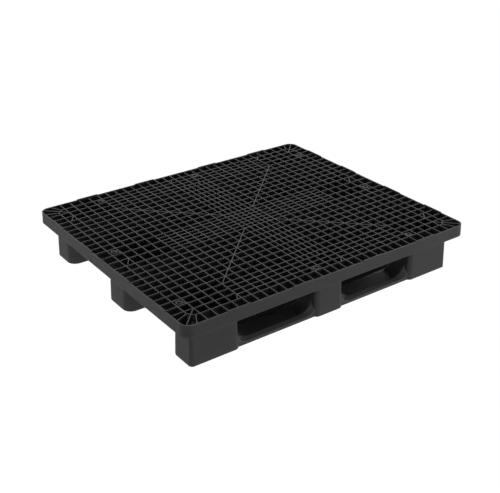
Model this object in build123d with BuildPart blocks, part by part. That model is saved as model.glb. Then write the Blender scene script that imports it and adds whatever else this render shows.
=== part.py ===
"""Open-grid plastic pallet: a deck moulding screwed onto three skid mouldings.

Millimetres.  +Z is up, the floor is Z = 0 and the origin is the centre of the
footprint.  X runs along the long side (the direction of the runners); the
long side at -Y is called the front.  Every piece is modelled where it sits in
the finished pallet.

Legs are addressed by column (-1, 0, 1 along X) and row (-1, 0, 1 along Y).
"""
import os
from math import atan2, degrees, hypot, radians, tan

from build123d import *

os.makedirs("parts", exist_ok=True)

# ------------------------------------------------------------------ overall
length = 1300.0            # X, along the runners
width = 1100.0             # Y
deck_top = 195.0           # loading surface above the floor

# -------------------------------------------------------------------- skirt
skirt_height = 47.0        # height of the deck moulding at its edge
skirt_bottom = deck_top - skirt_height
skirt_draft = 2.0          # degrees, the skirt is wider at the bottom
skirt_wall = 5.0           # at the top
skirt_edge = 2.5           # rounding of the lower outside edge
corner_radius = 38.0       # plan radius of the deck corners
lip_height = 3.0           # raised load-retaining lips along the edge
lip_length = 92.5
lip_width = skirt_wall - 0.2
lip_draft = 3.0
lip_x = (-433.3, -161.7, 161.7, 433.3)    # centres along the long sides
lip_y = (-375.1, -139.3, 139.3, 375.1)    # centres along the short sides

# --------------------------------------------------------------------- grid
rib = 3.6                  # thickness of every deck rib
grid_bottom = 150.0        # underside of the ribs
x_centre = 72.8            # half width of the fine central band
y_centre = 72.9
x_band = 390.9             # where the cell size changes along X
y_band = 381.0             # where the cell size changes along Y
x_edge = 596.5             # border rib, parallel to the short sides
y_edge = 497.0             # border rib, parallel to the long sides
x_end = 646.0              # ribs end inside the skirt wall
y_end = 546.0
x_cut = 574.6              # where the cut corner leaves the border ribs
y_cut = 475.1
cut_overlap = 0.5          # border ribs run on past the cut corner
main_cells = 8             # cells between the central band and the band limits
fine_pitch = 24.3
main_pitch_x = (x_band - x_centre) / main_cells
main_pitch_y = (y_band - y_centre) / main_cells
outer_pitch_x = 41.95
outer_pitch_y = 38.67      # outside x_band
inner_pitch_y = (y_edge - y_band) / 4     # inside x_band
x_last = x_band + 4 * outer_pitch_x       # last rib before the border rib
y_last = y_band + 3 * inner_pitch_y
y_split = y_band + inner_pitch_y          # fine ribs end here
half_band_x = x_centre / 2                # ribs beyond y_split

ring_radius = 12.5
ring_hole_radius = 9.0
ring_row_y = (y_last + y_edge) / 2
ring_column_x = (x_last + x_edge) / 2

# --------------------------------------------------------------------- legs
leg_draft = 2.0            # degrees, legs are wider at the floor
outer_radius = 16.0        # plan radii at the floor: corner of the pallet,
mouth_radius = 21.0        # beside a fork entry on a long side,
side_radius = 38.0         # beside a fork entry on a short side,
inner_radius = 25.0        # and inside the fork tunnels
leg_wall = 4.5
leg_top = skirt_bottom     # shoulder of the leg
leg_plate = 5.0            # plate closing the top of each leg
corner_leg_x = 204.0       # legs at the short sides, size along X
middle_leg_x = 134.0
outer_leg_y = 126.5        # legs of the front and rear skid, size along Y
middle_leg_y = 156.0
corner_leg_pos = 503.0     # X centre of the end legs
outer_leg_pos = 441.75     # Y centre of the outer skids
leg_rib = 3.5
foot_radius = 3.0
end_leg_face = corner_leg_pos - corner_leg_x / 2    # X of the faces at the
middle_leg_face = middle_leg_x / 2                  # fork entries, at the floor
leg_inset_at_top = leg_top * tan(radians(leg_draft))

# ------------------------------------------------------- joint leg to deck
spigot_inset = 6.0
spigot_wall = 3.5
spigot_height = 14.0
spigot_radius = 20.0
joint_gap = 0.4            # spigot to socket, all round
socket_headroom = 1.0
socket_radius = spigot_radius + joint_gap
collar_wall = 3.5
collar_gap = 0.1           # collars and bosses start this far above leg_top
boss_diameter = 16.0
boss_top = 172.0           # top of the bosses and collars
screw_core = 5.0
screw_pilot = 5.4
screw_hole = 6.4
screw_depth = 21.0         # pilot depth above leg_top
screw_length = 24.0        # under the head
screw_head = 11.0
screw_head_height = 3.6
hex_radius = 2.6           # hexagonal recess in the head, across corners / 2
hex_depth = 2.2
hole_start = 2.0           # the clearance cut starts this far below the plate
screw_near = 70.1          # end legs: screw offset towards the pallet centre
screw_far = x_last - corner_leg_pos       # and away from it

# ------------------------------------------------------------------- runner
runner_height = 18.0
runner_setback = 10.0      # behind the leg faces
runner_front = 11.5        # height of the vertical front edge
runner_lead = 20.0         # depth of the sloped lead-in above it
runner_rim = 6.0           # from the long edges to the cell grid
runner_cells = 8           # cells along each span, in two rows
runner_cell_top = 8.0
fork_radius = 40.0         # rounding between runner and leg, inside the entry
core_spread = 2.2          # shift of that rounding towards the end and middle legs
fork_lead = 14.0           # the same at the outer edge of the lead-in

columns = rows = (-1, 0, 1)
legs = [(column, row) for column in columns for row in rows]


def leg_size(column, row):
    """Size along X and Y at the floor."""
    return (middle_leg_x if column == 0 else corner_leg_x,
            middle_leg_y if row == 0 else outer_leg_y)


def leg_centre(column, row):
    return column * corner_leg_pos, row * outer_leg_pos


def corner_radii(column, row):
    """Radius of each leg corner, going round from (+x, +y)."""
    radii = []
    for side_x, side_y in ((1, 1), (-1, 1), (-1, -1), (1, -1)):
        short_side, long_side = column * side_x == 1, row * side_y == 1
        if short_side and long_side:
            radii.append(outer_radius)
        elif long_side:
            radii.append(mouth_radius)
        elif short_side:
            radii.append(side_radius)
        else:
            radii.append(inner_radius)
    return radii


def leg_outline(column, row, inset=0.0):
    """Edges of a leg at the floor."""
    centre_x, centre_y = leg_centre(column, row)
    size_x, size_y = leg_size(column, row)
    half_x, half_y = size_x / 2 - inset, size_y / 2 - inset
    left, right = centre_x - half_x, centre_x + half_x
    front, rear = centre_y - half_y, centre_y + half_y
    right_rear, left_rear, left_front, right_front = [
        radius - inset for radius in corner_radii(column, row)]
    with BuildLine() as line:
        Line((right, front + right_front), (right, rear - right_rear))
        RadiusArc((right, rear - right_rear), (right - right_rear, rear), -right_rear)
        Line((right - right_rear, rear), (left + left_rear, rear))
        RadiusArc((left + left_rear, rear), (left, rear - left_rear), -left_rear)
        Line((left, rear - left_rear), (left, front + left_front))
        RadiusArc((left, front + left_front), (left + left_front, front), -left_front)
        Line((left + left_front, front), (right - right_front, front))
        RadiusArc((right - right_front, front), (right, front + right_front), -right_front)
    return line.edges()


def runner_outline(height, spread):
    """Edges of the runner seen from the long side, rounded up into the legs."""
    top = height + fork_radius
    end = corner_leg_pos
    outer, inner = end_leg_face + spread, middle_leg_face - spread
    outer_foot, inner_foot = outer - fork_radius, inner + fork_radius
    with BuildLine() as line:
        Line((-end, 0), (end, 0))
        Line((end, 0), (end, top))
        Line((end, top), (outer, top))
        RadiusArc((outer, top), (outer_foot, height), fork_radius)
        Line((outer_foot, height), (inner_foot, height))
        RadiusArc((inner_foot, height), (inner, top), fork_radius)
        Line((inner, top), (-inner, top))
        RadiusArc((-inner, top), (-inner_foot, height), fork_radius)
        Line((-inner_foot, height), (-outer_foot, height))
        RadiusArc((-outer_foot, height), (-outer, top), fork_radius)
        Line((-outer, top), (-end, top))
        Line((-end, top), (-end, 0))
    return line.edges()


def screw_points(column, row):
    """Two screws per leg, each on a deck rib that runs along Y."""
    centre_x, centre_y = leg_centre(column, row)
    offset_y = (leg_size(column, row)[1] - 2 * leg_wall) / 4
    if column < 0 or (column == 0 and row < 0):
        offset_y = -offset_y
    if column == 0:
        left = right = half_band_x if row else fine_pitch
    elif column < 0:
        left, right = screw_far, screw_near
    else:
        left, right = screw_near, screw_far
    return [(centre_x - left, centre_y - offset_y),
            (centre_x + right, centre_y + offset_y)]


def spigot_size(column, row):
    size_x, size_y = leg_size(column, row)
    less = 2 * (leg_inset_at_top + spigot_inset)
    return size_x - less, size_y - less


def socket_size(column, row):
    size_x, size_y = spigot_size(column, row)
    return size_x + 2 * joint_gap, size_y + 2 * joint_gap


def both(values):
    """The values and their mirror images, sorted, each once."""
    return sorted({side * value for value in values for side in (-1, 1)})


def strut(x0, y0, x1, y1):
    """Centre, length and angle of a straight rib between two points."""
    return ((x0 + x1) / 2, (y0 + y1) / 2, hypot(x1 - x0, y1 - y0),
            degrees(atan2(y1 - y0, x1 - x0)))


# ===================================================================== deck
# rib positions on the positive side of each axis
fine_x = [0.0, fine_pitch, 2 * fine_pitch]
main_x = [x_centre + main_pitch_x * k for k in range(main_cells + 1)]
outer_x = [x_band + outer_pitch_x * k for k in range(1, 5)]
shared_y = [fine_pitch] + [y_centre + main_pitch_y * k for k in range(main_cells + 1)]
inner_y = [0.0, 2 * fine_pitch] + [y_band + inner_pitch_y * k for k in range(1, 4)]
outer_y = [y_band + outer_pitch_y * k for k in range(1, 3)]

# slanting ribs of the +x +y quarter, repeated in all four: x0, y0, x1, y1
quarter_struts = [
    # long diagonal of the deck
    (x_centre, y_centre, x_band, y_band),
    # corner fan and the cut corner of the border rib
    (x_last, 458.3, 635.0, 535.0),
    (x_edge, y_cut, x_cut, y_edge),
    (x_edge, y_cut, 645.0, 494.5),
    (x_cut, y_edge, 600.5, 545.0),
    # short struts over the leg corners
    (x_band, y_last, 407.5, y_edge),
    (x_centre, y_last, 53.7, y_edge),
    (x_last, 26.9, 585.1, 65.7),
    (x_last, 417.9, 585.1, 382.6),
]
struts = [strut(side_x * x0, side_y * y0, side_x * x1, side_y * y1)
          for side_x in (-1, 1) for side_y in (-1, 1)
          for x0, y0, x1, y1 in quarter_struts]

# ring centres, each repeated half a turn round the pallet centre
rings = [(side * x, side * y) for side in (-1, 1) for x, y in (
    (ring_column_x, 400.4), (ring_column_x, -2 * fine_pitch),
    (1.5 * half_band_x, ring_row_y), (405.0, -ring_row_y))]

with BuildPart() as deck:
    # ring of the skirt, tapered outside
    skirt_lean = skirt_height * tan(radians(skirt_draft))
    with BuildSketch(Plane.XY.offset(skirt_bottom)):
        RectangleRounded(length, width, corner_radius)
    extrude(amount=skirt_height, taper=skirt_draft)
    skirt_in = skirt_lean + skirt_wall
    with BuildSketch(Plane.XY.offset(skirt_bottom)):
        RectangleRounded(length - 2 * skirt_in, width - 2 * skirt_in,
                         corner_radius - skirt_in)
    extrude(amount=skirt_height, mode=Mode.SUBTRACT)
    skirt_edges = deck.faces().sort_by(Axis.Z)[0].outer_wire().edges()
    fillet(skirt_edges, radius=skirt_edge)
    # load lips on the four edges
    lip_in = skirt_lean + skirt_wall / 2
    with BuildSketch(Plane.XY.offset(deck_top)):
        with Locations(*[(x, side * (width / 2 - lip_in)) for x in lip_x for side in (-1, 1)]):
            Rectangle(lip_length, lip_width)
        with Locations(*[(side * (length / 2 - lip_in), y) for y in lip_y for side in (-1, 1)]):
            Rectangle(lip_width, lip_length)
    extrude(amount=lip_height, taper=lip_draft)
    # the open grid
    with BuildSketch(Plane.XY.offset(grid_bottom)):
        with Locations(*rings):
            Circle(ring_radius)
        with Locations(*rings):
            Circle(ring_hole_radius, mode=Mode.SUBTRACT)
        for x, y, run, angle in struts:
            with Locations((x, y)):
                Rectangle(run, rib, rotation=angle)
        # ribs along Y
        with Locations(*[(x, 0) for x in both(main_x + outer_x)]):
            Rectangle(rib, 2 * y_end)
        with Locations((-x_edge, 0), (x_edge, 0)):
            Rectangle(rib, 2 * (y_cut + cut_overlap))
        with Locations(*[(x, 0) for x in both(fine_x)]):
            Rectangle(rib, 2 * y_split)
        with Locations(*[(x, side * (y_split + y_end) / 2)
                         for x in both([0.0, half_band_x]) for side in (-1, 1)]):
            Rectangle(rib, y_end - y_split)
        # ribs along X
        with Locations(*[(0, y) for y in both(shared_y)]):
            Rectangle(2 * x_end, rib)
        with Locations(*[(0, y) for y in both(inner_y)]):
            Rectangle(2 * x_band, rib)
        with Locations(*[(side * (x_band + x_end) / 2, y)
                         for y in both(outer_y) for side in (-1, 1)]):
            Rectangle(x_end - x_band, rib)
        with Locations((0, -y_edge), (0, y_edge)):
            Rectangle(2 * (x_cut + cut_overlap), rib)
    extrude(amount=deck_top - grid_bottom)
    # sockets that receive the leg spigots
    with BuildSketch(Plane.XY.offset(skirt_bottom)):
        for column, row in legs:
            with Locations(leg_centre(column, row)):
                RectangleRounded(*socket_size(column, row), socket_radius)
    extrude(amount=spigot_height + socket_headroom, mode=Mode.SUBTRACT)
    # collars round the sockets, and screw bosses just above the leg plates
    with BuildSketch(Plane.XY.offset(leg_top + collar_gap)):
        for column, row in legs:
            socket_x, socket_y = socket_size(column, row)
            with Locations(leg_centre(column, row)):
                RectangleRounded(socket_x + 2 * collar_wall, socket_y + 2 * collar_wall,
                                 socket_radius + collar_wall)
                RectangleRounded(socket_x, socket_y, socket_radius, mode=Mode.SUBTRACT)
            with Locations(*screw_points(column, row)):
                Circle(boss_diameter / 2)
    extrude(amount=boss_top - leg_top - collar_gap)
    # screw pilots
    with BuildSketch(Plane.XY.offset(leg_top)):
        for column, row in legs:
            with Locations(*screw_points(column, row)):
                Circle(screw_pilot / 2)
    extrude(amount=screw_depth, mode=Mode.SUBTRACT)
deck.part.label = "deck"
export_step(deck.part, "parts/deck.step")

# ==================================================================== skids
for name, row in (("skid_front", -1), ("skid_middle", 0), ("skid_rear", 1)):
    skid_y = row * outer_leg_pos
    leg_y = leg_size(0, row)[1]
    runner_y = leg_y - 2 * runner_setback
    with BuildPart() as skid:
        # legs, wider at the floor, with rounded feet
        for column in columns:
            with BuildSketch():
                make_face(leg_outline(column, row))
            extrude(amount=leg_top, taper=leg_draft)
        fillet(skid.edges().group_by(Axis.Z)[0], radius=foot_radius)
        # runner bar, rounded up into the legs; Plane.XZ faces -Y
        edge = runner_y / 2
        core = edge - runner_lead
        with BuildSketch(Plane.XZ.offset(-skid_y - core)):
            make_face(runner_outline(runner_height, core_spread))
        extrude(amount=2 * core)
        # sloped lead-ins along its two long edges
        for side in (-1, 1):
            with BuildSketch(Plane.XZ.offset(-skid_y - side * core)):
                make_face(runner_outline(runner_height, core_spread))
            with BuildSketch(Plane.XZ.offset(-skid_y - side * edge)):
                make_face(runner_outline(runner_front, fork_lead))
            loft(ruled=True)
        # hollow the legs from below, leaving cross ribs
        with BuildSketch():
            for column in columns:
                make_face(leg_outline(column, row, leg_wall))
            for column in columns:
                leg_x = leg_size(column, row)[0]
                centre_x = leg_centre(column, row)[0]
                splits = (0.0,) if column == 0 else (-leg_x / 6, leg_x / 6)
                with Locations(*[(centre_x + split, skid_y) for split in splits]):
                    Rectangle(leg_rib, leg_y, mode=Mode.SUBTRACT)
                with Locations((centre_x, skid_y)):
                    Rectangle(leg_x, leg_rib, mode=Mode.SUBTRACT)
        extrude(amount=leg_top - leg_plate, taper=leg_draft, mode=Mode.SUBTRACT)
        # hollow the runner from below
        span = end_leg_face - middle_leg_face
        span_centre = middle_leg_face + span / 2
        cell_x = span / runner_cells
        cell_y = (runner_y - 2 * runner_rim) / 2
        with BuildSketch():
            with Locations((-span_centre, skid_y), (span_centre, skid_y)):
                with GridLocations(cell_x, cell_y, runner_cells, 2):
                    Rectangle(cell_x - leg_rib, cell_y - leg_rib)
        extrude(amount=runner_cell_top, mode=Mode.SUBTRACT)
        # spigots that enter the deck sockets
        for column in columns:
            spigot_x, spigot_y = spigot_size(column, row)
            with BuildSketch(Plane.XY.offset(leg_top)):
                with Locations(leg_centre(column, row)):
                    RectangleRounded(spigot_x, spigot_y, spigot_radius)
                    RectangleRounded(spigot_x - 2 * spigot_wall, spigot_y - 2 * spigot_wall,
                                     spigot_radius - spigot_wall, mode=Mode.SUBTRACT)
            extrude(amount=spigot_height)
            # clearance holes for the two screws
            with BuildSketch(Plane.XY.offset(leg_top - leg_plate - hole_start)):
                with Locations(*screw_points(column, row)):
                    Circle(screw_hole / 2)
            extrude(amount=leg_plate + hole_start, mode=Mode.SUBTRACT)
    skid.part.label = name
    export_step(skid.part, "parts/" + name + ".step")

# =================================================================== screws
seat = leg_top - leg_plate     # heads bear on the underside of the leg plates
head_bottom = seat - screw_head_height
spots = [point for column, row in legs for point in screw_points(column, row)]
with BuildPart() as leg_screws:
    with BuildSketch(Plane.XY.offset(head_bottom)):
        with Locations(*spots):
            Circle(screw_head / 2)
    extrude(amount=screw_head_height)
    with BuildSketch(Plane.XY.offset(seat)):
        with Locations(*spots):
            Circle(screw_core / 2)
    extrude(amount=screw_length)
    with BuildSketch(Plane.XY.offset(head_bottom)):
        with Locations(*spots):
            RegularPolygon(hex_radius, 6)
    extrude(amount=hex_depth, mode=Mode.SUBTRACT)
leg_screws.part.label = "leg_screws"
export_step(leg_screws.part, "parts/leg_screws.step")
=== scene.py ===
"""Black plastic pallet: a deck on three skids, each with three hollow legs and a low runner.

X is the long side and the skids run along it; -Y is the front, +Z is up. The CAD is in
metres. The skids are rebuilt as distance fields (negative inside) in millimetres.
"""

import math

import bpy
import numpy as np
from mathutils import Matrix, Vector


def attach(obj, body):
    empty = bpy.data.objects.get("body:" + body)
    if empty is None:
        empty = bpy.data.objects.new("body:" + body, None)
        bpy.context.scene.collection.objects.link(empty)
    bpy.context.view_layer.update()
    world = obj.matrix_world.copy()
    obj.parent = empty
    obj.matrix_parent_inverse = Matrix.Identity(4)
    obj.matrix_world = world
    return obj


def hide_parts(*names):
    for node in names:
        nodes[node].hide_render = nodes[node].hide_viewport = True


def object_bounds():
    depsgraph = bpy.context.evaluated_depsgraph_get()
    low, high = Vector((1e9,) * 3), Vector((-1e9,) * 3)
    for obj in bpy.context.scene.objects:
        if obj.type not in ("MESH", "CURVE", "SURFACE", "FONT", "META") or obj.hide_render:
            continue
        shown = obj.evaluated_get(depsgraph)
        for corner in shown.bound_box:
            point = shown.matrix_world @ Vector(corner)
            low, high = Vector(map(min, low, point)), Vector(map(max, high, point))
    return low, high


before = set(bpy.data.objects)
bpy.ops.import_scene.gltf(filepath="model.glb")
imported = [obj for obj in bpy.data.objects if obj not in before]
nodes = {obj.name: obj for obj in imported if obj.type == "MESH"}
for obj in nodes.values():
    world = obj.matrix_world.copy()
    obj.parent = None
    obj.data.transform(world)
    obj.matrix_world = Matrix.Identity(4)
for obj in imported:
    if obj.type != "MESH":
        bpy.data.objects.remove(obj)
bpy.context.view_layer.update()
scene = bpy.context.scene

# ------------------------------------------------------------------ sizes, mm
MM = 0.001
DRAFT = math.tan(math.radians(2.0))     # walls lean in by this much per mm of height
COLUMN_X = 503.0                        # centre of the outer legs
OUTER_HALF, MIDDLE_HALF = 102.0, 67.0   # half size of the legs along X
# side of the pallet, centre in X, half size in X
COLUMNS = ((-1, -COLUMN_X, OUTER_HALF), (0, 0.0, MIDDLE_HALF), (1, COLUMN_X, OUTER_HALF))
ROW_PITCH = 441.75
HALF_DEPTH = {-1: 63.25, 0: 78.0, 1: 63.25}     # half size of the legs along Y, by row
ROWS = ((-1, "skid_front"), (0, "skid_middle"), (1, "skid_rear"))

LEG_TOP = 148.0
PLATE = 5.0             # thickness of the leg's top plate
WALL = 4.5
WEB = 1.75              # half thickness of the webs
CELL_ROUND = 1.5
# plan radius of a leg corner: (on the pallet's outer X side, on its outer Y side)
CORNER_RADII = {(True, True): 16.0, (False, True): 21.0,
                (True, False): 38.0, (False, False): 25.0}
RING_GAP, RING_WALL, RING_HEIGHT, RING_RADIUS = 6.0, 3.5, 14.0, 20.0
RING_ROOT = 3.0         # how far the ring starts below the leg top
SCREW_RADIUS, SCREW_DROP, SCREW_REACH = 3.2, 3.0, 6.0   # hole, centre below top, half depth

# fork openings on either side of the middle leg
FORK_NEAR, FORK_FAR = MIDDLE_HALF, COLUMN_X - OUTER_HALF
FORK_SPAN, FORK_MID = FORK_FAR - FORK_NEAR, (FORK_FAR + FORK_NEAR) / 2
RUNNER_CELLS = 8        # cells along each opening
CELL_PITCH = FORK_SPAN / RUNNER_CELLS
RUNNER_INSET = 10.0     # the runner is this much narrower than the legs, each side
RUNNER_TOP, RUNNER_FILLET = 18.0, 52.0
RUNNER_END, RUNNER_CEILING = 440.0, 74.0    # limits in X and Z, inside the legs
RUNNER_CORE = 40.0      # no runner nearer the middle than this
LEAD_IN, LEAD_WIDEN, LEAD_DROP = 20.0, 16.0, 6.5    # length in Y, flare in X and Z
CELL_HEIGHT = 8.0
CELL_MARGIN = 6.0       # from the runner's edge to the outer webs


# ------------------------------------------------------------------ node graphs
class Graph:
    """A short way to write the nodes of a material or a world."""

    def __init__(self, owner, output):
        self.owner = owner
        owner.use_nodes = True
        self.nodes, self.links = owner.node_tree.nodes, owner.node_tree.links
        self.nodes.clear()
        self.out = self.nodes.new(output)

    def node(self, kind, inputs=None, **settings):
        n = self.nodes.new(kind)
        for key, value in settings.items():
            setattr(n, key, value)
        for key, value in (inputs or {}).items():
            if isinstance(value, bpy.types.NodeSocket):
                self.links.new(value, n.inputs[key])
            else:
                n.inputs[key].default_value = value
        return n

    def coords(self, kind="Object"):
        return self.node("ShaderNodeTexCoord").outputs[kind]

    def geometry(self, name):
        return self.node("ShaderNodeNewGeometry").outputs[name]

    def split(self, vector):
        return tuple(self.node("ShaderNodeSeparateXYZ", {0: vector}).outputs)

    def vector_math(self, operation, a, b, output="Vector"):
        n = self.node("ShaderNodeVectorMath", {0: a, 1: b}, operation=operation)
        return n.outputs[output]

    def noise(self, vector, scale, detail):
        return self.node("ShaderNodeTexNoise", {
            "Vector": vector, "Scale": scale, "Detail": detail, "Roughness": 0.55,
        }).outputs["Fac"]

    def ramp(self, value, lo, hi, to=(0.0, 1.0), kind="SMOOTHSTEP"):
        """Map lo..hi onto the pair `to`, clamped."""
        return self.node("ShaderNodeMapRange", {
            "Value": value, "From Min": lo, "From Max": hi, "To Min": to[0], "To Max": to[1],
        }, interpolation_type=kind).outputs["Result"]

    def math(self, operation, a, b=0.0):
        return self.node("ShaderNodeMath", {0: a, 1: b, 2: 0.0}, operation=operation).outputs[0]

    def times(self, a, b):
        return self.math("MULTIPLY", a, b)

    def most(self, a, b):
        return self.math("MAXIMUM", a, b)

    def size(self, a):
        return self.math("ABSOLUTE", a)

    def invert(self, a):
        return self.math("SUBTRACT", 1.0, a)

    def mix(self, factor, a, b):
        return self.node("ShaderNodeMix", {"Factor": factor, "A": a, "B": b},
                         data_type="RGBA").outputs["Result"]

    def over(self, shade, mask, value):
        """Lay a grey over a shade where the mask is set."""
        return self.mix(mask, shade, grey(value))

    def bump(self, height, distance, strength, **normal):
        inputs = {"Strength": strength, "Distance": distance, "Height": height}
        if normal:
            inputs["Normal"] = normal["normal"]
        return self.node("ShaderNodeBump", inputs).outputs["Normal"]

    def principled(self, **values):
        """Input names are given in lower case, with underscores for spaces."""
        names = {"ior": "IOR", "specular": "Specular IOR Level"}
        return self.node("ShaderNodeBsdfPrincipled", {
            names.get(key, key.replace("_", " ").title()): value
            for key, value in values.items()}).outputs[0]

    def mix_shader(self, factor, a, b):
        return self.node("ShaderNodeMixShader", {"Fac": factor, 1: a, 2: b}).outputs[0]

    def finish(self, shader):
        self.links.new(shader, self.out.inputs["Surface"])
        return self.owner


def material_graph(name):
    return Graph(bpy.data.materials.new(name), "ShaderNodeOutputMaterial")


def grey(value):
    return (value, value, value, 1.0)


def cover(obj, material):
    obj.data.materials.clear()
    obj.data.materials.append(material)


# ------------------------------------------------------------------ materials
def skirt_edge_painted_highlight(g, shade, flow, base):
    """Painted highlight: the lower edge of the skirt is painted paler. Returns shade and
    specular level.
    """
    x, y, z = g.split(g.coords())
    rim = g.most(g.ramp(g.size(x), lo=0.640, hi=0.643), g.ramp(g.size(y), lo=0.540, hi=0.543))
    rim = g.times(rim, g.ramp(z, lo=0.1505, hi=0.1525, to=(1.0, 0.0)))
    # painted highlight along the skirt's lower edge
    mask = g.times(rim, g.ramp(flow, lo=0.25, hi=0.6, to=(0.7, 1.0)))
    return g.over(shade, mask, value=base * 1.9), 0.5


def skid_painted_light_and_shade(g, shade, flow, base):
    """Painted light and shade on the skids. Returns shade and specular level."""
    normal_x, _, normal_z = g.split(g.geometry("Normal"))
    x, y, z = g.split(g.coords())
    off_y = g.size(y)
    # painted shade under the skirt, round the tops of the legs
    top = g.times(g.ramp(z, lo=0.139, hi=0.1445), 0.8)
    shade = g.over(shade, top, value=base * 0.35)
    # upward faces of the runners
    low = g.ramp(z, lo=0.034, hi=0.050, to=(1.0, 0.0))
    above = g.ramp(z, lo=0.009, hi=0.012)
    facing = g.times(g.ramp(normal_z, lo=0.15, hi=0.40), g.times(low, above))
    # the outer lead-ins; the painted lit zone reaches a little deeper beside the legs
    off_mid = g.size(g.math("SUBTRACT", g.size(x), FORK_MID * MM))
    beside = g.ramp(off_mid, lo=0.095, hi=0.150)
    outer = g.ramp(g.math("ADD", off_y, g.times(beside, 0.008)), lo=0.4735, hi=0.4765)
    # painted light: the lead-in slopes are painted pale; the flats behind them get their own
    # painted grey
    slope = g.times(facing, outer)
    flat = g.times(facing, g.invert(outer))
    painted_lit_slope = g.times(slope, g.ramp(flow, lo=0.2, hi=0.6, to=(0.75, 1.0)))
    shade = g.over(shade, painted_lit_slope, value=base * 2.8)
    shade = g.over(shade, flat, value=base * 1.2)
    # painted shade on the flats further back, under the deck
    back = g.times(flat, g.ramp(off_y, lo=0.402, hi=0.404, to=(1.0, 0.0)))
    shade = g.over(shade, back, value=base * 0.3)
    # painted shade: the corners where a runner turns up towards the leg on its -X side are
    # painted plain grey and duller, against the lamp on the right
    turned = g.times(facing, g.ramp(normal_x, lo=0.06, hi=0.34))
    shade = g.over(shade, g.times(turned, 0.85), value=base)
    # painted shade on the walls inside the fork tunnels, with a duller sheen
    wall = g.times(g.ramp(g.size(normal_x), lo=0.7, hi=0.95),
                   g.ramp(g.size(x), lo=0.42, hi=0.44, to=(1.0, 0.0)))
    wall = g.times(wall, g.invert(outer))
    shade = g.over(shade, g.times(wall, 0.8), value=base * 1.1)
    # painted shade: these zones get less specular
    painted_dull_shade = g.most(g.times(wall, 0.6), back)
    painted_dull_shade = g.most(painted_dull_shade, g.times(turned, 0.55))
    return shade, g.ramp(painted_dull_shade, lo=0.0, hi=1.0, to=(0.5, 0.12))


def moulded_plastic(name, base, roughness, seed, painted_light):
    """Near-black plastic of grey `base`; `seed` shifts its textures."""
    g = material_graph(name)
    at = g.vector_math("MULTIPLY", g.coords(), (1.0, 1.0, 1.0))
    at = g.vector_math("ADD", at, (seed, seed * 0.7, seed * 0.3))
    cloud = g.noise(at, scale=5.0, detail=4.0)
    flow = g.noise(g.vector_math("MULTIPLY", at, (1.0, 1.0, 3.0)), scale=22.0, detail=4.0)
    grain = g.noise(at, scale=1500.0, detail=2.0)
    speck = g.noise(at, scale=700.0, detail=1.0)
    shade = g.mix(g.ramp(cloud, lo=0.35, hi=0.65), grey(base * 0.88), grey(base * 1.12))
    shade = g.over(shade, g.ramp(flow, lo=0.55, hi=0.75, to=(0.0, 0.35)), value=base * 1.3)
    shade = g.over(shade, g.ramp(speck, lo=0.70, hi=0.78, to=(0.0, 0.4)), value=base * 2.2)
    # rubbed edges
    edge = g.ramp(g.geometry("Pointiness"), lo=0.52, hi=0.60)
    rub = g.times(edge, g.ramp(g.noise(at, scale=60.0, detail=4.0), lo=0.4, hi=0.7))
    shade = g.over(shade, g.times(rub, 0.5), value=base * 2.0)
    # painted light and shade from the given function
    shade, specular = painted_light(g, shade, flow, base)
    broad = g.ramp(flow, lo=0.3, hi=0.7, to=(roughness - 0.05, roughness + 0.05))
    fine = g.ramp(grain, lo=0.3, hi=0.7, to=(-0.03, 0.03))
    normal = g.bump(grain, distance=0.00008, strength=0.5)
    normal = g.bump(cloud, distance=0.004, strength=0.15, normal=normal)
    return g.finish(g.principled(base_color=shade, roughness=g.math("ADD", broad, fine),
                                 normal=normal, ior=1.50, specular=specular))


def zinc(name):
    g = material_graph(name)
    at = g.coords()
    cloud = g.noise(at, scale=300.0, detail=3.0)
    fine = g.noise(g.vector_math("MULTIPLY", at, (1.0, 1.0, 6.0)), scale=2500.0, detail=2.0)
    dark, light = (0.50, 0.51, 0.52, 1), (0.66, 0.67, 0.66, 1)
    return g.finish(g.principled(
        base_color=g.mix(g.ramp(cloud, lo=0.35, hi=0.65), dark, light),
        metallic=1.0,
        roughness=g.ramp(fine, lo=0.3, hi=0.7, to=(0.28, 0.45)),
        normal=g.bump(fine, distance=0.00003, strength=0.4)))


# the deck gets a painted highlight on its skirt edge; the skids get painted light and shade
plastic_deck = moulded_plastic("black_pp_deck", base=0.020, roughness=0.46, seed=0.0,
                               painted_light=skirt_edge_painted_highlight)
plastic_skid = moulded_plastic("black_pp_skid", base=0.021, roughness=0.48, seed=3.1,
                               painted_light=skid_painted_light_and_shade)
cover(nodes["deck"], plastic_deck)
for _, node_name in ROWS:
    cover(nodes[node_name], plastic_skid)
cover(nodes["leg_screws"], zinc("zinc_plated_steel"))


# ------------------------------------------------------------------ distance fields
def meet(a, b, r=0.0):
    """Intersection of two distance fields, rounded by r."""
    if r <= 0:
        return np.maximum(a, b)
    u, v = a + r, b + r
    return np.hypot(np.maximum(u, 0), np.maximum(v, 0)) + np.minimum(np.maximum(u, v), 0) - r


def cut(a, b, r=0.0):
    return meet(a, -b, r)


def corner_box(x, y, half_x, half_y, radii):
    """Rectangle with its own radius at each corner: (+x+y, -x+y, -x-y, +x-y)."""
    r = np.where(x > 0, np.where(y > 0, radii[0], radii[3]),
                 np.where(y > 0, radii[1], radii[2]))
    past_x, past_y = np.abs(x) - half_x + r, np.abs(y) - half_y + r
    return (np.hypot(np.maximum(past_x, 0), np.maximum(past_y, 0))
            + np.minimum(np.maximum(past_x, past_y), 0) - r)


def planes(lo, hi, coarse, zones):
    """Grid planes, closer together inside the zones (start, end, step)."""
    at, out = lo, [lo]
    while at < hi - 1e-6:
        step = min([s for a, b, s in zones if a - 1e-6 <= at < b - 1e-6] + [coarse])
        starts = [a for a, b, s in zones if a > at + 1e-6 and s < step]
        at = min([at + step, hi] + starts)
        out.append(at)
    return np.array(out)


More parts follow.
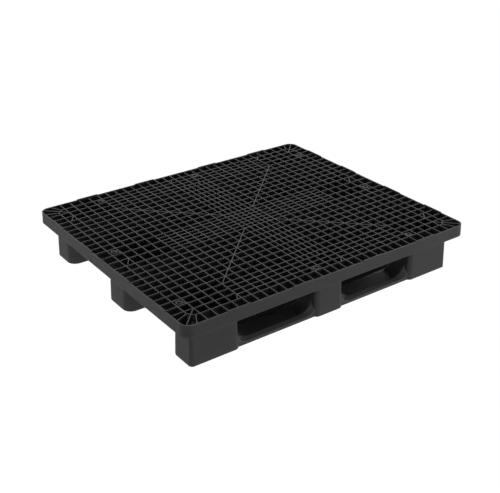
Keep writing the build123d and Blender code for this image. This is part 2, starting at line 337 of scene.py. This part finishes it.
def surface(field, axes):
    """Closed quad mesh of the zero level of a sampled field, one vertex per crossed cell."""
    negative = field < 0
    cells = [n - 1 for n in field.shape]
    total, count = np.zeros(cells + [3]), np.zeros(cells)
    crossings = []
    for d in range(3):
        a, b = [slice(None)] * 3, [slice(None)] * 3
        a[d], b[d] = slice(None, -1), slice(1, None)
        a, b = tuple(a), tuple(b)
        hit = negative[a] != negative[b]
        where = np.argwhere(hit)
        t = field[a][hit] / (field[a][hit] - field[b][hit])
        pos = np.empty((len(where), 3))
        for e in range(3):
            pos[:, e] = axes[e][where[:, e]]
        pos[:, d] += t * (axes[d][where[:, d] + 1] - axes[d][where[:, d]])
        # the four cells round each crossed grid edge, in ring order
        e, f = [k for k in range(3) if k != d]
        ring = []
        for i, j in ((0, 0), (1, 0), (1, 1), (0, 1)):
            cell = where.copy()
            cell[:, e] -= i
            cell[:, f] -= j
            ring.append(tuple(cell.T))
        for k in (0, 3, 1, 2):
            np.add.at(total, ring[k], pos)
            np.add.at(count, ring[k], 1)
        inside = negative[a][hit]
        crossings.append((ring, inside if d == 1 else ~inside))
    full = count > 0
    index = -np.ones(cells, dtype=np.int64)
    index[full] = np.arange(full.sum())
    quads = []
    for ring, backwards in crossings:
        quad = np.stack([index[cell] for cell in ring], axis=1)
        quad[backwards] = quad[backwards][:, ::-1]
        quads.append(quad)
    return total[full] / count[full][:, None], np.concatenate(quads)


# ------------------------------------------------------------------ skids, mm
def web_places(side, half_x):
    """X of a leg's webs from its centre: one in the middle legs, two in the outer."""
    return (-half_x / 3, half_x / 3) if side else (0.0,)


def screw_spots(row):
    """Two screws per leg, diagonally opposite."""
    centre_y = ROW_PITCH * row
    off_y = (2 * HALF_DEPTH[row] - 2 * WALL) / 4
    spots = []
    for side, centre_x, _ in COLUMNS:
        if side == 0:
            left = right = 36.4 if row else 24.3
        else:
            inward, outward = 70.1, 55.7
            left, right = (outward, inward) if side < 0 else (inward, outward)
        turn = -1 if side < 0 or (side == 0 and row < 0) else 1
        spots.append((centre_x - left, centre_y - turn * off_y))
        spots.append((centre_x + right, centre_y + turn * off_y))
    return spots


def around(centre, reach, step):
    return (centre - reach, centre + reach, step)


def between(a, b, step):
    return (min(a, b), max(a, b), step)


def edge_zones(centre, half, depth, step):
    """Zones from just outside both ends of a leg to `depth` inside."""
    return [between(centre + s * (half + 1.5), centre + s * (half - depth), step)
            for s in (-1, 1)]


def skid_planes(row, screws):
    """Grid planes in X, Y and Z, dense at walls, webs, cells and screws."""
    coarse, margin, web_reach = 7.0, 3.0, 9.0
    centre_y, half_y = ROW_PITCH * row, HALF_DEPTH[row]
    x_zones = []
    for side, centre_x, half_x in COLUMNS:
        x_zones += edge_zones(centre_x, half_x, depth=18.0, step=1.6)
        x_zones += edge_zones(centre_x, half_x, depth=40.0, step=3.0)
        x_zones += [around(centre_x + web, web_reach, step=1.5)
                    for web in web_places(side, half_x)]
    for s in (-1, 1):
        for edge, fillet_end in ((FORK_NEAR, FORK_NEAR + 46.0), (FORK_FAR, FORK_FAR - 46.0)):
            x_zones.append(between(s * edge, s * fillet_end, step=2.5))
        x_zones += [around(s * FORK_MID - FORK_SPAN / 2 + CELL_PITCH * k, 3.5, step=1.2)
                    for k in range(RUNNER_CELLS + 1)]
    y_zones = edge_zones(centre_y, half_y, depth=40.0, step=2.0)
    y_zones += edge_zones(centre_y, half_y, depth=18.0, step=1.5)
    y_zones.append(around(centre_y, web_reach, step=1.5))
    for x, y in screws:
        x_zones.append(around(x, 5.0, step=1.0))
        y_zones.append(around(y, 5.0, step=1.0))
    bottom, top = -1.5, 164.4
    z_zones = [(bottom, 5.0, 0.8), (5.0, 22.0, 1.6), (22.0, 64.0, 3.0), (138.0, top, 0.9)]
    end_x = COLUMN_X + OUTER_HALF + margin
    return (planes(-end_x, end_x, coarse, x_zones),
            planes(centre_y - half_y - margin, centre_y + half_y + margin, coarse, y_zones),
            planes(bottom, top, coarse, z_zones))


def leg(row, side, half_x, half_y, x, y, z, lean):
    """Solid and hollow fields of one leg; x and y are from its centre."""
    radii = [CORNER_RADII[side * ux == 1, row * uy == 1]
             for ux, uy in ((1, 1), (-1, 1), (-1, -1), (1, -1))]
    solid = corner_box(x, y, half_x - lean, half_y - lean, [r - lean for r in radii])
    solid = meet(solid, -z, 1.8)
    solid = meet(solid, z - LEG_TOP, 1.0)
    # the ring that enters the deck socket
    inset = LEG_TOP * DRAFT + RING_GAP
    ring = corner_box(x, y, half_x - inset, half_y - inset, [RING_RADIUS] * 4)
    ring = cut(ring, corner_box(x, y, half_x - inset - RING_WALL, half_y - inset - RING_WALL,
                                [RING_RADIUS - RING_WALL] * 4))
    ring = meet(meet(ring, z - LEG_TOP - RING_HEIGHT, 0.8), LEG_TOP - RING_ROOT - z)
    # cells under the leg, with the cross webs left standing
    hollow = corner_box(x, y, half_x - WALL - lean, half_y - WALL - lean,
                        [r - WALL - lean for r in radii])
    webs = np.abs(y) - WEB - lean
    for web in web_places(side, half_x):
        webs = np.minimum(webs, np.abs(x - web) - WEB - lean)
    hollow = cut(hollow, webs, CELL_ROUND)
    hollow = meet(hollow, z - (LEG_TOP - PLATE), CELL_ROUND)
    return np.minimum(solid, ring), hollow


def runner(edge, x, y, z, lean):
    """Everything below the rounded outline of the fork entries, flared at both Y ends."""
    flare = np.clip((np.abs(y) - (edge - LEAD_IN)) / LEAD_IN, 0, 1)
    side = np.maximum(FORK_NEAR - lean - np.abs(x), np.abs(x) - (FORK_FAR + lean))
    bar = -meet(side - LEAD_WIDEN * flare, RUNNER_TOP - LEAD_DROP * flare - z, RUNNER_FILLET)
    bar = meet(bar, np.abs(y) - edge, 1.6)
    bar = meet(bar, -z, 1.0)
    bar = meet(bar, np.abs(x) - RUNNER_END)
    bar = meet(bar, z - RUNNER_CEILING)
    return np.where(np.abs(x) < RUNNER_CORE, np.float32(5.0), bar)


def runner_hollow(edge, x, y, z):
    """Two rows of cells under the runner, open below."""
    half_x, half_y = CELL_PITCH / 2, (edge - CELL_MARGIN) / 2
    cell_x = np.abs(np.mod(np.abs(x) - FORK_NEAR, CELL_PITCH) - half_x) - (half_x - WEB)
    cell_y = np.abs(np.abs(y) - half_y) - (half_y - WEB)
    under = meet(meet(cell_x, cell_y, CELL_ROUND), z - CELL_HEIGHT, 1.2)
    under = meet(under, FORK_NEAR + WEB - np.abs(x))
    return meet(under, np.abs(x) - (FORK_FAR - WEB))


def skid_field(row):
    """Grid planes and distance field of one skid."""
    centre_y, half_y = ROW_PITCH * row, HALF_DEPTH[row]
    screws = screw_spots(row)
    axes = skid_planes(row, screws)
    x, y, z = (a.astype(np.float32) for a in np.meshgrid(*axes, indexing="ij"))
    y = y - np.float32(centre_y)
    lean = DRAFT * np.clip(z, 0, LEG_TOP)
    solid = np.full(x.shape, 1e3, dtype=np.float32)
    hollow = solid.copy()
    for side, centre_x, half_x in COLUMNS:
        reach = half_x + 12.0
        near = slice(*np.searchsorted(axes[0], (centre_x - reach, centre_x + reach)))
        fields = leg(row, side, half_x, half_y,
                     x[near] - np.float32(centre_x), y[near], z[near], lean[near])
        solid[near] = np.minimum(solid[near], fields[0])
        hollow[near] = np.minimum(hollow[near], fields[1])
    edge = half_y - RUNNER_INSET
    solid = np.minimum(solid, runner(edge, x, y, z, lean))
    hollow = np.minimum(hollow, runner_hollow(edge, x, y, z))
    for screw_x, screw_y in screws:
        hole = np.hypot(x - np.float32(screw_x), y + np.float32(centre_y - screw_y))
        depth = np.abs(z - (LEG_TOP - SCREW_DROP)) - SCREW_REACH
        hollow = np.minimum(hollow, meet(hole - SCREW_RADIUS, depth))
    return axes, cut(solid, hollow, 0.4)


def build_skid(row, name):
    axes, field = skid_field(row)
    verts, quads = surface(field, axes)
    data = bpy.data.meshes.new(name + "_skin")
    data.from_pydata((verts * MM).tolist(), [], quads.tolist())
    data.validate()
    data.shade_smooth()
    piece = bpy.data.objects.new(name + "_moulding", data)
    scene.collection.objects.link(piece)
    cover(piece, plastic_skid)
    return piece


for row, node_name in ROWS:
    piece = build_skid(row, node_name)
    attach(piece, "root")
    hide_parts(node_name)


# ------------------------------------------------------------------ floor
def floor_material(half_x, half_y):
    """Pale floor: white towards the camera, with a painted dark patch of shade under the
    pallet, clear from below, and letting a little light up to the underside."""
    g = material_graph("pale_studio_floor")
    at = g.coords()
    x, y, _ = g.split(at)
    off_x, off_y = g.size(x), g.size(y)
    # painted shade: the floor and its glow are painted near-black under the pallet
    inside = g.times(g.ramp(off_x, lo=half_x - 0.17, hi=half_x - 0.14, to=(1.0, 0.0)),
                     g.ramp(off_y, lo=half_y - 0.09, hi=half_y - 0.06, to=(1.0, 0.0)))
    pale = g.mix(g.noise(at, scale=1.2, detail=3.0), grey(0.78), grey(0.82))
    matt = g.principled(base_color=g.over(pale, inside, value=0.010),
                        roughness=0.9, specular=0.0)
    rays = g.node("ShaderNodeLightPath").outputs
    glow = g.node("ShaderNodeEmission", {
        "Color": g.over(grey(1.0), inside, value=0.004),
        "Strength": g.ramp(rays["Is Camera Ray"], lo=0.0, hi=1.0, to=(0.58, 1.04),
                           kind="LINEAR"),
    }).outputs[0]
    straight = g.most(rays["Is Camera Ray"], rays["Is Glossy Ray"])
    lit = g.mix_shader(g.times(straight, 0.96), matt, glow)
    clear = g.node("ShaderNodeBsdfTransparent").outputs[0]
    under = g.times(g.math("LESS_THAN", off_x, half_x), g.math("LESS_THAN", off_y, half_y))
    under = g.times(under, rays["Is Diffuse Ray"])
    return g.finish(g.mix_shader(g.most(under, g.geometry("Backfacing")), lit, clear))


FLOOR_HALF = 30.0
FLOOR_INSET = 0.02      # the painted shade patch stops this far inside the pallet's outline
lo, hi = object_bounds()
mesh = bpy.data.meshes.new("studio_floor")
mesh.from_pydata([(sx * FLOOR_HALF, sy * FLOOR_HALF, lo.z)
                  for sx, sy in ((-1, -1), (1, -1), (1, 1), (-1, 1))], [], [(0, 1, 2, 3)])
floor = bpy.data.objects.new("studio_floor", mesh)
scene.collection.objects.link(floor)
cover(floor, floor_material(hi.x - FLOOR_INSET, hi.y - FLOOR_INSET))

# ------------------------------------------------------------------ light
FILL, REAR, ZENITH = 0.8, 1.5, 0.17     # surroundings: level, behind, overhead
BELOW = 1.30                            # gain on light from below the horizon
REAR_WAY = (0.50, 0.87, 0.0)            # direction of the brighter side


def studio_world():
    """White to the camera; a graded surround for all other rays."""
    g = Graph(bpy.data.worlds.new("studio"), "ShaderNodeOutputWorld")
    way = g.coords("Generated")
    _, _, up = g.split(way)
    level = g.ramp(up, lo=0.10, hi=0.50, to=(FILL, ZENITH))
    rear = g.ramp(up, lo=0.35, hi=0.85, to=(REAR, ZENITH))
    below = g.ramp(up, lo=-0.10, hi=-0.02, to=(BELOW, 1.0), kind="LINEAR")
    toward = g.vector_math("DOT_PRODUCT", way, REAR_WAY, output="Value")
    blend = g.node("ShaderNodeMix", {"Factor": g.ramp(toward, lo=0.0, hi=0.5),
                                     "A": level, "B": rear}).outputs["Result"]
    strength = g.node("ShaderNodeMath", {0: blend, 1: below}, operation="MULTIPLY").outputs[0]
    fill, seen = (g.node("ShaderNodeBackground", {"Color": grey(1.0), "Strength": s}).outputs[0]
                  for s in (strength, 1.0))
    camera_ray = g.node("ShaderNodeLightPath").outputs["Is Camera Ray"]
    return g.finish(g.mix_shader(camera_ray, fill, seen))


scene.world = studio_world()

LAMP_HEIGHT, LAMP_SIZE, LAMP_TARGET = 0.60, (2.6, 1.0), Vector((0, 0, 0.1))


def lamp(name, x, y, power):
    data = bpy.data.lights.new(name, "AREA")
    data.shape = "RECTANGLE"
    data.size, data.size_y = LAMP_SIZE
    data.energy = power
    o = bpy.data.objects.new(name, data)
    at = Vector((x, y, LAMP_HEIGHT))
    o.location = at
    o.rotation_mode = "QUATERNION"
    o.rotation_quaternion = (LAMP_TARGET - at).to_track_quat("-Z", "Y")
    o.visible_camera = False
    scene.collection.objects.link(o)


lamp("box_left", x=-3.8, y=1.5, power=4.0)
lamp("box_front", x=0.4, y=-4.0, power=20.0)
lamp("box_right", x=3.9, y=-2.1, power=64.0)

# ------------------------------------------------------------------ camera
# World to camera (x right, y down, z ahead), from the pallet's bottom -X -Y corner, mm
VIEW_TURN = np.array([1.9683176615800317, -0.6396409264118667, 0.39065542596590985])
VIEW_SHIFT = np.array([-206.71431468703173, 434.56534375926105, 3002.8104086165094])
PALLET_HALF = np.array([650.0, 550.0, 0.0])


def camera_pose():
    """Camera matrix in metres; VIEW_TURN is an axis times an angle in radians."""
    angle = np.linalg.norm(VIEW_TURN)
    x, y, z = VIEW_TURN / angle
    cross = np.array([[0, -z, y], [z, 0, -x], [-y, x, 0]])
    turn = np.eye(3) + math.sin(angle) * cross + (1 - math.cos(angle)) * cross @ cross
    centre = (np.array(lo) + np.array(hi)) / 2 * 1000
    foot = np.array([centre[0], centre[1], lo.z * 1000])
    right, down, ahead = turn
    pose = np.eye(4)
    pose[:3, :3] = np.column_stack((right, -down, -ahead))
    pose[:3, 3] = (-turn.T @ VIEW_SHIFT - PALLET_HALF + foot) / 1000
    return Matrix(pose.tolist())


camera = bpy.data.objects.new("camera", bpy.data.cameras.new("camera"))
scene.collection.objects.link(camera)
scene.camera = camera
camera.matrix_world = camera_pose()
camera.data.sensor_width = 36.0
camera.data.sensor_fit = "HORIZONTAL"
camera.data.lens = 66.11256
camera.data.clip_start, camera.data.clip_end = 0.05, 100.0

scene.view_settings.view_transform = "Standard"
scene.view_settings.look = "None"
